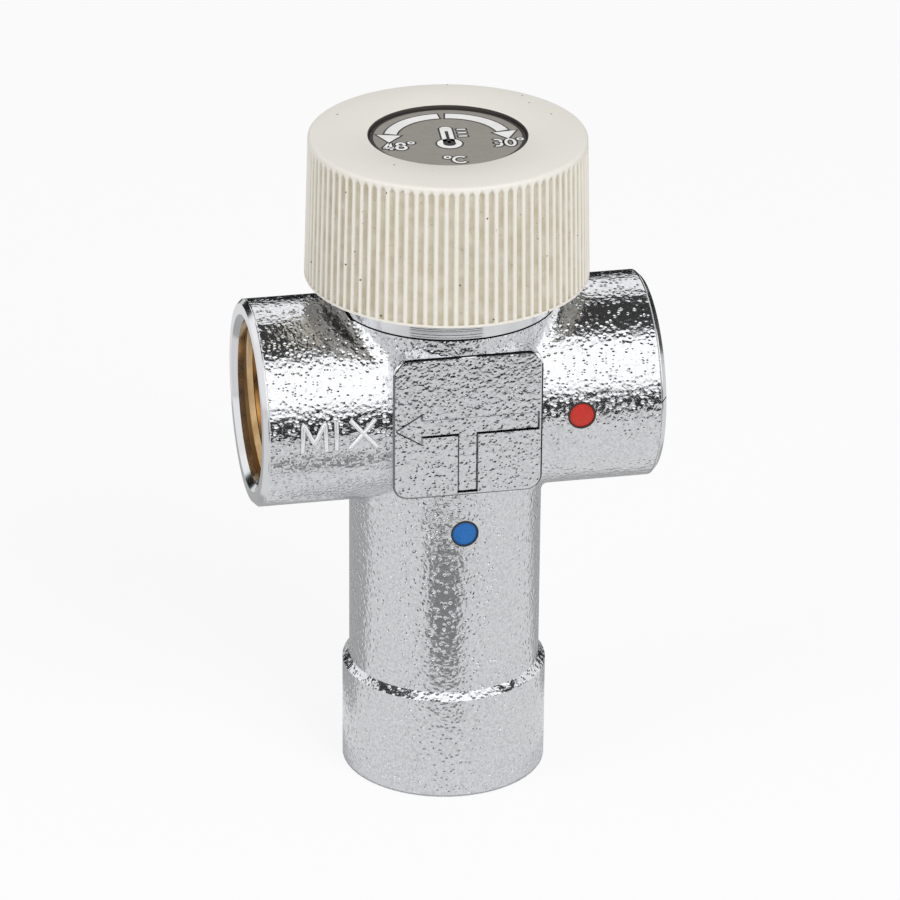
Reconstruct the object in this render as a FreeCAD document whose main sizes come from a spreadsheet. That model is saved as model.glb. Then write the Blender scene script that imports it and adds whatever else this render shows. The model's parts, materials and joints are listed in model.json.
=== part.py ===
import FreeCAD, Part
import os
import re

import Sketcher

# Thermostatic mixing valve with three G 3/4 female ports, in millimetres.
# Origin: centre of the cold inlet's bottom face. +Z up, +X towards the hot inlet, -Y towards the front pad.

SIZES = {
    # casting, outside
    "collar_radius": 16.5,
    "collar_top": 18.5,
    "collar_bevel": 1.1,
    "neck_radius": 15.4,
    "port_radius": 16.5,
    "port_reach": 32.2,
    "port_height": 65.3,
    "rim_chamfer": 0.7,
    "boss_radius": 17.0,
    "boss_rise": 15.8,
    "boss_trim": 9.0,
    "spotface_margin": 0.3,
    "saddle_round": 3.0,
    "crotch_round": 1.6,
    # flat pads at front and back, with the tee arrow sunk into the front one
    "pad_width": 24.0,
    "pad_tall": 24.0,
    "pad_lift": 1.0,
    "pad_front": 17.2,
    "pad_corner": 2.6,
    "pad_edge_round": 0.5,
    "arrow_depth": 0.35,
    "arrow_wall_slope": 40.0,
    "arrow_shaft": 3.1,
    "arrow_head_length": 4.8,
    "arrow_head_width": 5.3,
    "arrow_stem": 3.3,
    "arrow_margin": 0.55,
    # paint dots
    "marker_radius": 2.0,
    "marker_gap": 0.15,
    "marker_depth": 0.7,
    "marker_sink": 0.12,
    "hot_marker_x": 18.4,
    "hot_marker_lift": 0.9,
    "cold_marker_drop": 18.6,
    # G 3/4 ports
    "thread_radius": 13.22,
    "thread_depth": 15.0,
    "mouth_radius": 14.1,
    "mouth_bevel": 0.9,
    "thread_runout": 1.0,
    # chambers and webs inside the casting
    "neck_bore": 12.0,
    "chamber_radius": 12.0,
    "passage_half_width": 8.0,
    "passage_corner": 2.0,
    "passage_overrun": 0.5,
    "lower_web_drop": 11.8,
    "web_thickness": 3.0,
    "hot_chamber_tall": 10.0,
    "seat_hole": 8.0,
    "bonnet_thread_radius": 14.0,
    "bonnet_thread_length": 4.8,
    # bonnet
    "bonnet_radius": 17.6,
    "bonnet_ring_tall": 4.4,
    "bonnet_spanner": 28.0,
    "bonnet_hex_tall": 5.0,
    "bonnet_tower_radius": 11.6,
    "bonnet_roof": 5.0,
    "bonnet_skirt_bore": 11.8,
    "skirt_taper": 1.5,
    "small_chamfer": 0.5,
    "seal_section": 0.8,
    # carriage, plunger and its spring
    "carriage_radius": 9.0,
    "carriage_tall": 11.4,
    "carriage_bore": 7.2,
    "carriage_web": 3.5,
    "key_width": 2.4,
    "key_depth": 1.4,
    "key_clearance": 0.08,
    "key_start": 3.0,
    "carriage_travel": 0.92,
    "plunger_flange": 1.5,
    "plunger_nose": 1.5,
    "plunger_nose_radius": 4.2,
    "piston_socket": 0.8,
    "clip_thickness": 0.8,
    "clip_cover": 0.7,
    "clip_play": 0.3,
    "plunger_clip_gap": 3.0,
    "overtravel_coil": 6.0,
    "overtravel_wire": 0.5,
    "overtravel_half_turns": 5,
    # spindle
    "spindle_radius": 5.0,
    "spindle_thread_radius": 4.5,
    "spindle_collar_radius": 7.6,
    "spindle_collar_tall": 1.3,
    "spindle_tail": 1.1,
    "collar_clearance": 0.3,
    "washer_thickness": 0.4,
    "o_ring_section": 0.7,
    "o_ring_stand": 0.04,
    "o_ring_spacing": 2.2,
    "spindle_drive": 7.6,
    "spindle_drive_tall": 5.5,
    "spindle_clip_radius": 6.8,
    "spindle_clip_gap": 4.4,
    "clip_land": 0.3,
    "clip_groove_depth": 0.7,
    # wax element
    "piston_radius": 1.5,
    "piston_length": 8.0,
    "piston_stand": 2.5,
    "piston_chamfer": 0.3,
    "piston_room": 1.7,
    "guide_radius": 3.2,
    "guide_tall": 3.5,
    "capsule_flange_radius": 6.4,
    "capsule_flange": 1.5,
    "capsule_radius": 5.0,
    "capsule_tall": 12.5,
    "tail_radius": 3.2,
    "stud_radius": 2.4,
    "stud_proud": 0.8,
    # shuttle
    "sleeve_radius": 9.6,
    "sleeve_bore": 7.6,
    "sleeve_proud": 1.2,
    "seal_play": 0.02,
    "seat_gap": 0.65,
    "spider_tall": 2.0,
    "spider_arms": 3,
    "spider_window": 76.0,
    "spider_hub_wall": 1.0,
    "spider_rim_bite": 0.4,
    "disc_radius": 9.6,
    "disc_thickness": 1.8,
    "disc_rim_radius": 6.4,
    "disc_rim_tall": 1.0,
    "disc_rim_wall": 1.0,
    "nut_spanner": 8.0,
    "nut_tall": 2.4,
    # return spring and what carries it
    "return_wire": 0.6,
    "return_coil": 7.6,
    "return_spring_tall": 17.0,
    "return_half_turns": 9,
    "retainer_thickness": 1.4,
    "retainer_hub_radius": 5.2,
    "retainer_seat_radius": 9.0,
    "retainer_rim": 1.0,
    "ring_thickness": 1.2,
    "ring_bite": 0.9,
    "ring_width": 2.2,
    "ring_gap": 6.0,
    # knob
    "knob_tall": 23.0,
    "knob_top_radius": 21.87,
    "knob_base_radius": 22.48,
    "knob_edge_round": 0.5,
    "knob_wall": 2.4,
    "knob_roof": 2.2,
    "knob_hub_radius": 7.4,
    "flute_count": 88,
    "flute_radius": 0.58,
    "flute_offset": 0.14,
    "flute_start": 0.35,
    "flute_end": 1.3,
    "flute_point": 0.9,
    "knob_rib_count": 6,
    "knob_rib_thickness": 1.4,
    "knob_rib_tall": 4.0,
    "rib_overlap": 0.5,
    "screw_head_radius": 3.6,
    "screw_head_tall": 1.5,
    "screw_radius": 2.0,
    "screw_length": 9.0,
    "screw_chamfer": 0.4,
    "screw_slot": 1.0,
    "screw_hole_margin": 0.5,
    "screw_well_radius": 4.8,
    "screw_web": 1.6,
    "cap_radius": 12.2,
    "cap_thickness": 1.2,
    "cap_gap": 0.15,
    "cap_sink": 0.5,
    "cap_skirt_tall": 1.2,
    "cap_skirt_wall": 0.7,
    # fits
    "running_fit": 0.06,
    "sliding_fit": 0.1,
}

# Heights and radii that follow from the driving sizes.
DERIVED = {
    "boss_top": "port_height + boss_rise",
    "pad_middle": "port_height + pad_lift",
    "pad_bottom": "pad_middle - pad_tall / 2",
    "pad_top": "pad_middle + pad_tall / 2",
    "thread_end": "port_reach - thread_depth",
    "cold_seat": "port_height - lower_web_drop",
    "hot_seat": "cold_seat + web_thickness",
    "upper_web_bottom": "hot_seat + hot_chamber_tall",
    "upper_web_top": "upper_web_bottom + web_thickness",
    "bonnet_bottom": "boss_top - bonnet_thread_length",
    "spotface": "bonnet_radius + spotface_margin",
    "sleeve_guide": "sleeve_radius + running_fit",
    "marker_hole": "marker_radius + marker_gap",
    "disc_top": "cold_seat - seat_gap",
    "disc_bottom": "disc_top - disc_thickness",
    "retainer_top": "disc_bottom - return_spring_tall",
    "retainer_bottom": "retainer_top - retainer_thickness",
    "ring_bottom": "retainer_bottom - ring_thickness",
    "stud_bottom": "disc_bottom - nut_tall - stud_proud",
    "ring_groove": "neck_bore + ring_bite",
    "sleeve_bottom": "hot_seat + seat_gap",
    "sleeve_seal": "(upper_web_bottom + upper_web_top) / 2",
    "spider_top": "upper_web_top + sleeve_proud",
    "spider_bottom": "spider_top - spider_tall",
    "flange_top": "spider_top + capsule_flange",
    "guide_top": "flange_top + guide_tall",
    "capsule_bottom": "spider_top - capsule_tall",
    "piston_top": "guide_top + piston_stand",
    "piston_bottom": "piston_top - piston_length",
    "plunger_bottom": "piston_top - piston_socket",
    "plunger_seat": "plunger_bottom + plunger_nose",
    "plunger_top": "plunger_seat + plunger_flange",
    "clip_seat": "plunger_seat - clip_thickness",
    "carriage_bottom": "clip_seat - clip_cover",
    "carriage_top": "carriage_bottom + carriage_tall",
    "carriage_ceiling": "carriage_top - carriage_web",
    "collar_bottom": "carriage_top + carriage_travel + collar_clearance",
    "collar_top_face": "collar_bottom + spindle_collar_tall",
    "roof_bottom": "collar_top_face + washer_thickness",
    "roof_top": "roof_bottom + bonnet_roof",
    "spindle_clip_bottom": "roof_top + sliding_fit",
    "drive_bottom": "spindle_clip_bottom + clip_thickness + clip_land",
    "drive_top": "drive_bottom + spindle_drive_tall",
    "ring_top": "boss_top + bonnet_ring_tall",
    "knob_bottom": "ring_top",
    "knob_top": "knob_bottom + knob_tall",
    "cap_bottom": "knob_top - cap_sink - cap_thickness",
    "screw_seat": "drive_top + screw_web",
    "knob_ceiling": "cap_bottom - knob_roof",
    "knob_bore": "knob_top_radius - knob_wall",
}

doc = FreeCAD.newDocument("mixing_valve")
sheet = doc.addObject("Spreadsheet::Sheet", "Sizes")
for row, (alias, number) in enumerate(SIZES.items(), start=1):
    sheet.set("A%d" % row, alias)
    sheet.set("B%d" % row, str(number))
    sheet.setAlias("B%d" % row, alias)
doc.recompute()


def bound(text):
    """Turn an expression of size names into one that reads the sheet."""
    def swap(match):
        word = match.group(0)
        if word in DERIVED:
            return "(" + bound(DERIVED[word]) + ")"
        if word in SIZES:
            return "Sizes." + word
        return word
    return re.sub(r"[A-Za-z_][A-Za-z_0-9]*", swap, str(text))


def value(text):
    """The present number of an expression of size names."""
    number = sheet.evalExpression(bound(text))
    return float(getattr(number, "Value", number))


def bind(item, **properties):
    """Bind properties such as Length or Placement__Base__z to expressions."""
    for name, text in properties.items():
        item.setExpression(name.replace("__", "."), bound(text))


def new_body(label):
    body = doc.addObject("PartDesign::Body", label)
    body.Label = label
    return body


def new_sketch(body, plane, lift=None):
    """A sketch on one of the body's own origin planes, moved along the plane's normal."""
    sketch = body.newObject("Sketcher::SketchObject", body.Name + "_sketch")
    support = [item for item in body.Origin.OriginFeatures if item.Role == plane][0]
    sketch.AttachmentSupport = [(support, "")]
    sketch.MapMode = "FlatFace"
    if lift is not None:
        bind(sketch, AttachmentOffset__Base__z=lift)
    return sketch


def fix_point(sketch, edge, end, x, y):
    """Hold one end of an edge at x, y, where each is an expression."""
    for kind, axis, text in (("DistanceX", -2, x), ("DistanceY", -1, y)):
        if text == "0":
            sketch.addConstraint(Sketcher.Constraint("PointOnObject", edge, end, axis))
        else:
            index = sketch.addConstraint(Sketcher.Constraint(kind, -1, 1, edge, end, value(text)))
            sketch.setExpression("Constraints[%d]" % index, bound(text))


def draw(sketch, corners):
    """Closed outline. A corner is (x, y) or (x, y, radius): then an arc runs to the next corner,
    turning left for a positive radius and right for one that starts with a minus."""
    first = sketch.GeometryCount
    spots = [FreeCAD.Vector(value(corner[0]), value(corner[1]), 0) for corner in corners]
    count = len(corners)
    for number, corner in enumerate(corners):
        start, finish = spots[number], spots[(number + 1) % count]
        if len(corner) == 2:
            sketch.addGeometry(Part.LineSegment(start, finish), False)
            continue
        radius = value(corner[2])
        chord = finish - start
        across = FreeCAD.Vector(-chord.y, chord.x, 0).normalize()
        rise = max(radius ** 2 - chord.Length ** 2 / 4, 0) ** 0.5
        side = 1 if radius > 0 else -1
        centre = (start + finish) * 0.5 + across * rise * side
        middle = centre + ((start + finish) * 0.5 - centre).normalize() * abs(radius)
        if rise < 1e-6:
            middle = centre - across * abs(radius) * side
        sketch.addGeometry(Part.Arc(start, middle, finish), False)
    for number, corner in enumerate(corners):
        edge, following = first + number, first + (number + 1) % count
        edge_end = 2 if len(corner) == 2 or value(corner[2]) > 0 else 1
        next_corner = corners[(number + 1) % count]
        next_start = 1 if len(next_corner) == 2 or value(next_corner[2]) > 0 else 2
        sketch.addConstraint(Sketcher.Constraint("Coincident", edge, edge_end, following, next_start))
        if len(corner) == 3:
            index = sketch.addConstraint(Sketcher.Constraint("Radius", edge, abs(value(corner[2]))))
            sketch.setExpression("Constraints[%d]" % index, bound(corner[2].lstrip("-")))
        edge_start = 1 if edge_end == 2 else 2
        fix_point(sketch, edge, edge_start, corner[0], corner[1])


def draw_circle(sketch, x, y, radius):
    centre = FreeCAD.Vector(value(x), value(y), 0)
    index = sketch.addGeometry(Part.Circle(centre, FreeCAD.Vector(0, 0, 1), value(radius)), False)
    fix_point(sketch, index, 3, x, y)
    size = sketch.addConstraint(Sketcher.Constraint("Radius", index, value(radius)))
    sketch.setExpression("Constraints[%d]" % size, bound(radius))


def rounded_box(left, right, low, high, radius):
    """Corners of a rectangle with round corners, anticlockwise."""
    return [
        (f"{left} + {radius}", low), (f"{right} - {radius}", low, radius),
        (right, f"{low} + {radius}"), (right, f"{high} - {radius}", radius),
        (f"{right} - {radius}", high), (f"{left} + {radius}", high, radius),
        (left, f"{high} - {radius}"), (left, f"{low} + {radius}", radius),
    ]


def hexagon(spanner):
    """Corners of a regular hexagon from its width across flats."""
    reach = f"{spanner} / 2 / cos(30)"
    return [(f"{reach} * cos({60 * turn + 30})", f"{reach} * sin({60 * turn + 30})") for turn in range(6)]


def sector(inner, outer, half_angle):
    """Corners of a window between two radii, centred on the X axis."""
    return [
        (f"{inner} * cos({half_angle})", f"{inner} * -sin({half_angle})"),
        (f"{outer} * cos({half_angle})", f"{outer} * -sin({half_angle})", outer),
        (f"{outer} * cos({half_angle})", f"{outer} * sin({half_angle})"),
        (f"{inner} * cos({half_angle})", f"{inner} * sin({half_angle})", f"-{inner}"),
    ]


def turn(body, corners, kind="PartDesign::Revolution"):
    """Turn an outline of (radius, height) corners about the body's Z axis, adding or cutting."""
    sketch = new_sketch(body, "XZ_Plane")
    draw(sketch, corners)
    feature = body.newObject(kind, body.Name + "_turned")
    feature.Profile = sketch
    feature.ReferenceAxis = (sketch, ["V_Axis"])
    feature.Angle = 360
    body.Tip = feature
    doc.recompute()
    return feature


def extrude(body, sketch, length, kind="PartDesign::Pad", back=False, both=False):
    feature = body.newObject(kind, body.Name + "_extruded")
    feature.Profile = sketch
    bind(feature, Length=length)
    feature.Reversed = back
    if both:
        feature.SideType = "Symmetric"
    body.Tip = feature
    doc.recompute()
    return feature


def around(body, features, count):
    """Repeat features about the body's Z axis."""
    pattern = body.newObject("PartDesign::PolarPattern", body.Name + "_pattern")
    pattern.Originals = features
    axis = [item for item in body.Origin.OriginFeatures if item.Role == "Z_Axis"][0]
    pattern.Axis = (axis, [""])
    pattern.Angle = 360
    bind(pattern, Occurrences=count)
    body.Tip = pattern
    doc.recompute()
    return pattern


def round_edges(body, wanted, radius):
    """Fillet the edges of the body's present shape for which wanted(edge) holds."""
    base = body.Tip
    names = ["Edge%d" % (number + 1) for number, edge in enumerate(base.Shape.Edges) if wanted(edge)]
    feature = body.newObject("PartDesign::Fillet", body.Name + "_round")
    feature.Base = (base, names)
    bind(feature, Radius=radius)
    body.Tip = feature
    doc.recompute()
    return feature


def ring(label, coil_radius, section_radius, height):
    """A round-section ring about the Z axis."""
    torus = doc.addObject("Part::Torus", label)
    torus.Label = label
    bind(torus, Radius1=coil_radius, Radius2=section_radius, Placement__Base__z=height)
    return torus


def coil_spring(label, coil_radius, wire_radius, low, high, half_turns):
    """A compression spring ground flat at the heights low and high. Each half turn is an arc that
    leans about the Y axis, so that it meets the next one with no kink."""
    radius, wire, bottom, top = value(coil_radius), value(wire_radius), value(low), value(high)
    count = round(value(half_turns))
    rise = (top - bottom + wire) / count
    halves = []
    for step in range(count):
        side = 1 if step % 2 == 0 else -1
        start = FreeCAD.Vector(side * radius, 0, bottom - wire / 2 + rise * step)
        section = Part.Face(Part.Wire([Part.Edge(Part.Circle(start, FreeCAD.Vector(0, 1, 0), wire))]))
        centre = start + FreeCAD.Vector(-side * radius, 0, rise / 2)
        halves.append(section.revolve(centre, FreeCAD.Vector(side * rise / 2, 0, radius), 180))
    coil = halves[0].multiFuse(halves[1:])
    reach = radius + 2 * wire
    between = Part.makeBox(2 * reach, 2 * reach, top - bottom, FreeCAD.Vector(-reach, -reach, bottom))
    spring = doc.addObject("Part::Feature", label)
    spring.Label = label
    spring.Shape = coil.common(between).Solids[0]
    return spring


def draw_axis(sketch, start, finish):
    """A construction line for a feature to turn about."""
    spots = [FreeCAD.Vector(value(x), value(y), 0) for x, y in (start, finish)]
    index = sketch.addGeometry(Part.LineSegment(*spots), True)
    fix_point(sketch, index, 1, *start)
    fix_point(sketch, index, 2, *finish)


def turn_about(body, corners, start, finish, kind="PartDesign::Revolution"):
    """Turn an outline drawn on the XZ plane about a line of that plane, adding or cutting."""
    sketch = new_sketch(body, "XZ_Plane")
    draw(sketch, corners)
    draw_axis(sketch, start, finish)
    feature = body.newObject(kind, body.Name + "_turned")
    feature.Profile = sketch
    feature.ReferenceAxis = (sketch, ["Axis0"])
    feature.Angle = 360
    body.Tip = feature
    doc.recompute()
    return feature


def lies_on(edge, *tests):
    """True when sample points of the edge meet every test, each a function that gives 0 on its surface."""
    first, last = edge.ParameterRange
    points = [edge.valueAt(first + (last - first) * step / 4) for step in range(5)]
    return all(abs(test(point)) < 1e-3 for test in tests for point in points)


def off_column(radius):
    return lambda point: (point.x ** 2 + point.y ** 2) ** 0.5 - value(radius)


def off_ports(point):
    return (point.y ** 2 + (point.z - value("port_height")) ** 2) ** 0.5 - value("port_radius")


# ---------------------------------------------------------------- casting

def make_valve_body():
    body = new_body("valve_body")
    turn(body, [
        ("0", "0"), ("collar_radius", "0"),
        ("collar_radius", "collar_top - collar_bevel"), ("neck_radius", "collar_top"),
        ("neck_radius", "port_height"), ("boss_radius", "port_height"),
        ("boss_radius", "boss_top + boss_trim"), ("0", "boss_top + boss_trim"),
    ])
    rim = "port_height + port_radius"
    port_line = (("-port_reach", "port_height"), ("port_reach", "port_height"))
    turn_about(body, [
        ("-port_reach", "port_height"), ("port_reach", "port_height"),
        ("port_reach", f"{rim} - rim_chamfer"), ("port_reach - rim_chamfer", rim),
        ("rim_chamfer - port_reach", rim), ("-port_reach", f"{rim} - rim_chamfer"),
    ], *port_line)
    pad = new_sketch(body, "XZ_Plane")
    draw(pad, rounded_box("-pad_width / 2", "pad_width / 2", "pad_bottom", "pad_top", "pad_corner"))
    extrude(body, pad, "2 * pad_front", both=True)

    above = value("port_height")
    round_edges(body, lambda edge: lies_on(edge, off_column("boss_radius"), off_ports)
                and edge.CenterOfMass.z > above, "saddle_round")
    round_edges(body, lambda edge: lies_on(edge, off_column("neck_radius"), off_ports)
                and edge.CenterOfMass.z < above, "crotch_round")
    round_edges(body, lambda edge: lies_on(edge, lambda point: abs(point.y) - value("pad_front")),
                "pad_edge_round")

    arrow = new_sketch(body, "XZ_Plane", "pad_front")
    tip, barb = "arrow_margin - pad_width / 2", "arrow_head_length - pad_width / 2"
    end, half_stem, foot = "pad_width / 2 - arrow_margin", "arrow_stem / 2", "pad_bottom + arrow_margin"
    low, high = "pad_middle - arrow_shaft / 2", "pad_middle + arrow_shaft / 2"
    draw(arrow, [
        (tip, "pad_middle"), (barb, "pad_middle - arrow_head_width / 2"), (barb, low),
        (f"-{half_stem}", low), (f"-{half_stem}", foot), (half_stem, foot), (half_stem, low),
        (end, low), (end, high), (barb, high), (barb, "pad_middle + arrow_head_width / 2"),
    ])
    sunk = extrude(body, arrow, "arrow_depth", "PartDesign::Pocket")
    bind(sunk, TaperAngle="-arrow_wall_slope")
    doc.recompute()

    gland = "bonnet_thread_radius + 2 * seal_section"
    turn(body, [
        ("0", "0"), ("mouth_radius", "0"), ("thread_radius", "mouth_bevel"),
        ("thread_radius", "thread_depth"), ("neck_bore", "thread_depth + thread_runout"),
        ("neck_bore", "ring_bottom"), ("ring_groove", "ring_bottom"),
        ("ring_groove", "retainer_bottom"), ("neck_bore", "retainer_bottom"),
        ("neck_bore", "cold_seat"), ("seat_hole", "cold_seat"), ("seat_hole", "hot_seat"),
        ("chamber_radius", "hot_seat"), ("chamber_radius", "upper_web_bottom"),
        ("sleeve_guide", "upper_web_bottom"), ("sleeve_guide", "upper_web_top"),
        ("chamber_radius", "upper_web_top"), ("chamber_radius", "bonnet_bottom"),
        ("bonnet_thread_radius", "bonnet_bottom"),
        ("bonnet_thread_radius", "boss_top - 2 * seal_section"),
        (gland, "boss_top - 2 * seal_section"), (gland, "boss_top"),
        ("spotface", "boss_top"), ("spotface", "boss_top + boss_trim + 1"), ("0", "boss_top + boss_trim + 1"),
    ], "PartDesign::Groove")
    for side in ("-", ""):
        turn_about(body, [
            (f"{side}port_reach", "port_height"),
            (f"{side}port_reach", "port_height + mouth_radius"),
            (f"{side}(port_reach - mouth_bevel)", "port_height + thread_radius"),
            (f"{side}thread_end", "port_height + thread_radius"),
            (f"{side}thread_end", "port_height"),
        ], *port_line, kind="PartDesign::Groove")
    for low, high, forward in (
            ("upper_web_top", "bonnet_bottom", False), ("hot_seat", "upper_web_bottom", True)):
        passage = new_sketch(body, "YZ_Plane")
        draw(passage, rounded_box("-passage_half_width", "passage_half_width", low, high, "passage_corner"))
        extrude(body, passage, "thread_end + passage_overrun", "PartDesign::Pocket", back=forward)
    for x, height, front in (
            ("hot_marker_x", "port_height + hot_marker_lift", "port_radius"),
            ("0", "port_height - cold_marker_drop", "neck_radius")):
        dot = new_sketch(body, "XZ_Plane", f"{front} - marker_depth")
        draw_circle(dot, x, height, "marker_hole")
        extrude(body, dot, "marker_depth + 1", "PartDesign::Pocket", back=True)
    return body


def make_marker(label, x, height, front, across):
    """A paint dot: a short cylinder whose outer face follows the round wall just below its surface."""
    stub = doc.addObject("Part::Cylinder", label + "_stub")
    bind(stub, Radius="marker_radius", Height="marker_depth", Placement__Base__x=x,
         Placement__Base__y=f"marker_depth - {front}", Placement__Base__z=height)
    stub.Placement.Rotation = FreeCAD.Rotation(FreeCAD.Vector(1, 0, 0), 90)
    wall = doc.addObject("Part::Cylinder", label + "_wall")
    bind(wall, Radius=f"{front} - marker_sink", Height="2 * port_reach")
    if across:
        bind(wall, Placement__Base__x="-port_reach", Placement__Base__z="port_height")
        wall.Placement.Rotation = FreeCAD.Rotation(FreeCAD.Vector(0, 1, 0), 90)
    marker = doc.addObject("Part::Common", label)
    marker.Label = label
    marker.Base = stub
    marker.Tool = wall
    return marker


# ---------------------------------------------------------------- bonnet and spindle

def make_bonnet():
    body = new_body("bonnet")
    bore, shaft = "carriage_radius + sliding_fit", "spindle_radius + running_fit"
    thread = "bonnet_thread_radius - running_fit"
    turn(body, [
        ("bonnet_skirt_bore", "bonnet_bottom"), (thread, "bonnet_bottom"), (thread, "boss_top"),
        ("bonnet_radius", "boss_top"), ("bonnet_radius", "ring_top - small_chamfer"),
        ("bonnet_radius - small_chamfer", "ring_top"), ("bonnet_tower_radius", "ring_top"),
        ("bonnet_tower_radius", "roof_top - small_chamfer"), ("bonnet_tower_radius - small_chamfer", "roof_top"),
        (shaft, "roof_top"), (shaft, "roof_bottom"), (bore, "roof_bottom"),
        (bore, "boss_top - small_chamfer"), ("bonnet_skirt_bore", "boss_top - small_chamfer - skirt_taper"),
    ])
    nut = new_sketch(body, "XY_Plane", "ring_top")
    draw(nut, hexagon("bonnet_spanner"))
    draw_circle(nut, "0", "0", "bonnet_tower_radius - small_chamfer")
    extrude(body, nut, "bonnet_hex_tall")
    slots = new_sketch(body, "XY_Plane", "bonnet_bottom")
    reach = "carriage_radius + key_depth + key_clearance"
    half = "key_width / 2 + key_clearance"
    left, near = f"-({reach})", f"-({half})"
    draw(slots, [(left, near), (reach, near), (reach, half), (left, half)])
    extrude(body, slots, "roof_bottom - bonnet_bottom", "PartDesign::Pocket", back=True)
    return body


def o_ring_heights():
    middle = "(roof_bottom + bonnet_roof / 2)"
    return [f"{middle} - o_ring_spacing / 2", f"{middle} + o_ring_spacing / 2"]


def make_spindle():
    body = new_body("spindle")
    groove = "spindle_radius + o_ring_stand - 2 * o_ring_section"
    tail = "carriage_ceiling - spindle_tail"
    corners = [
        ("0", tail), ("spindle_thread_radius - small_chamfer", tail),
        ("spindle_thread_radius", f"{tail} + small_chamfer"), ("spindle_thread_radius", "collar_bottom"),
        ("spindle_collar_radius", "collar_bottom"), ("spindle_collar_radius", "collar_top_face"),
        ("spindle_radius", "collar_top_face"),
    ]
    for height in o_ring_heights():
        corners += [
            ("spindle_radius", f"{height} - o_ring_section"), (groove, f"{height} - o_ring_section"),
            (groove, f"{height} + o_ring_section"), ("spindle_radius", f"{height} + o_ring_section"),
        ]
    clip = "spindle_radius - clip_groove_depth"
    clip_top = "spindle_clip_bottom + clip_thickness"
    corners += [
        ("spindle_radius", "spindle_clip_bottom"), (clip, "spindle_clip_bottom"), (clip, clip_top),
        ("spindle_radius", clip_top), ("spindle_radius", "drive_bottom"), ("0", "drive_bottom"),
    ]
    turn(body, corners)
    drive = new_sketch(body, "XY_Plane", "drive_bottom")
    draw(drive, hexagon("spindle_drive"))
    extrude(body, drive, "spindle_drive_tall")
    hole = new_sketch(body, "XY_Plane", "drive_top")
    draw_circle(hole, "0", "0", "screw_radius + running_fit")
    extrude(body, hole, "screw_length - screw_web + screw_hole_margin", "PartDesign::Pocket")
    return body


def make_washer(label, inner, outer, low, tall):
    body = new_body(label)
    turn(body, [(inner, low), (outer, low), (outer, f"{low} + {tall}"), (inner, f"{low} + {tall}")])
    return body


def make_split_ring(label, inner, outer, low, tall, gap):
    """A retaining ring with its gap towards +X."""
    body = make_washer(label, inner, outer, low, tall)
    cut = new_sketch(body, "XY_Plane", low)
    reach, half = f"{outer} + 1", f"{gap} / 2"
    draw(cut, [("0", f"-{half}"), (reach, f"-{half}"), (reach, half), ("0", half)])
    extrude(body, cut, tall, "PartDesign::Pocket", back=True)
    return body


# ---------------------------------------------------------------- carriage and plunger

def make_carriage():
    body = new_body("carriage")
    nut = "spindle_thread_radius + running_fit"
    groove = "carriage_bore + clip_groove_depth"
    turn(body, [
        ("carriage_bore", "carriage_bottom"), ("carriage_radius", "carriage_bottom"),
        ("carriage_radius", "carriage_top"), (nut, "carriage_top"), (nut, "carriage_ceiling"),
        ("carriage_bore", "carriage_ceiling"), ("carriage_bore", "plunger_seat"),
        (groove, "plunger_seat"), (groove, "clip_seat"), ("carriage_bore", "clip_seat"),
    ])
    for side in (False, True):
        key = new_sketch(body, "YZ_Plane")
        half = "key_width / 2"
        draw(key, [(f"-{half}", "carriage_bottom + key_start"), (half, "carriage_bottom + key_start"),
                   (half, "carriage_top"), (f"-{half}", "carriage_top")])
        extrude(body, key, "carriage_radius + key_depth", back=side)
    bore = new_sketch(body, "XY_Plane", "carriage_bottom")
    draw_circle(bore, "0", "0", "carriage_bore")
    extrude(body, bore, "carriage_ceiling - carriage_bottom", "PartDesign::Pocket", back=True)
    hole = new_sketch(body, "XY_Plane", "carriage_top")
    draw_circle(hole, "0", "0", nut)
    extrude(body, hole, "carriage_web", "PartDesign::Pocket")
    return body


def make_plunger():
    body = new_body("plunger")
    flange, socket = "carriage_bore - sliding_fit", "piston_radius + running_fit"
    turn(body, [
        ("0", "piston_top"), (socket, "piston_top"), (socket, "plunger_bottom"),
        ("plunger_nose_radius", "plunger_bottom"), ("plunger_nose_radius", "plunger_seat"),
        (flange, "plunger_seat"), (flange, "plunger_top"), ("0", "plunger_top"),
    ])
    return body


# ---------------------------------------------------------------- wax element and shuttle

def make_wax_piston():
    body = new_body("wax_piston")
    turn(body, [
        ("0", "piston_bottom"), ("piston_radius", "piston_bottom"),
        ("piston_radius", "piston_top - piston_chamfer"),
        ("piston_radius - piston_chamfer", "piston_top"), ("0", "piston_top"),
    ])
    return body


def make_wax_capsule():
    """The element's cup, guide and threaded tail in one, with the piston's bore from above."""
    body = new_body("wax_capsule")
    bore = "piston_radius + running_fit"
    floor = "piston_bottom - piston_room"
    turn(body, [
        ("0", "stud_bottom"), ("stud_radius", "stud_bottom"),
        ("stud_radius", "disc_top"), ("tail_radius", "disc_top"), ("tail_radius", "capsule_bottom"),
        ("capsule_radius", "capsule_bottom"), ("capsule_radius", "spider_top"),
        ("capsule_flange_radius", "spider_top"), ("capsule_flange_radius", "flange_top"),
        ("guide_radius", "flange_top"), ("guide_radius", "guide_top"), (bore, "guide_top"),
        (bore, floor), ("0", floor),
    ])
    return body


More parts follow.
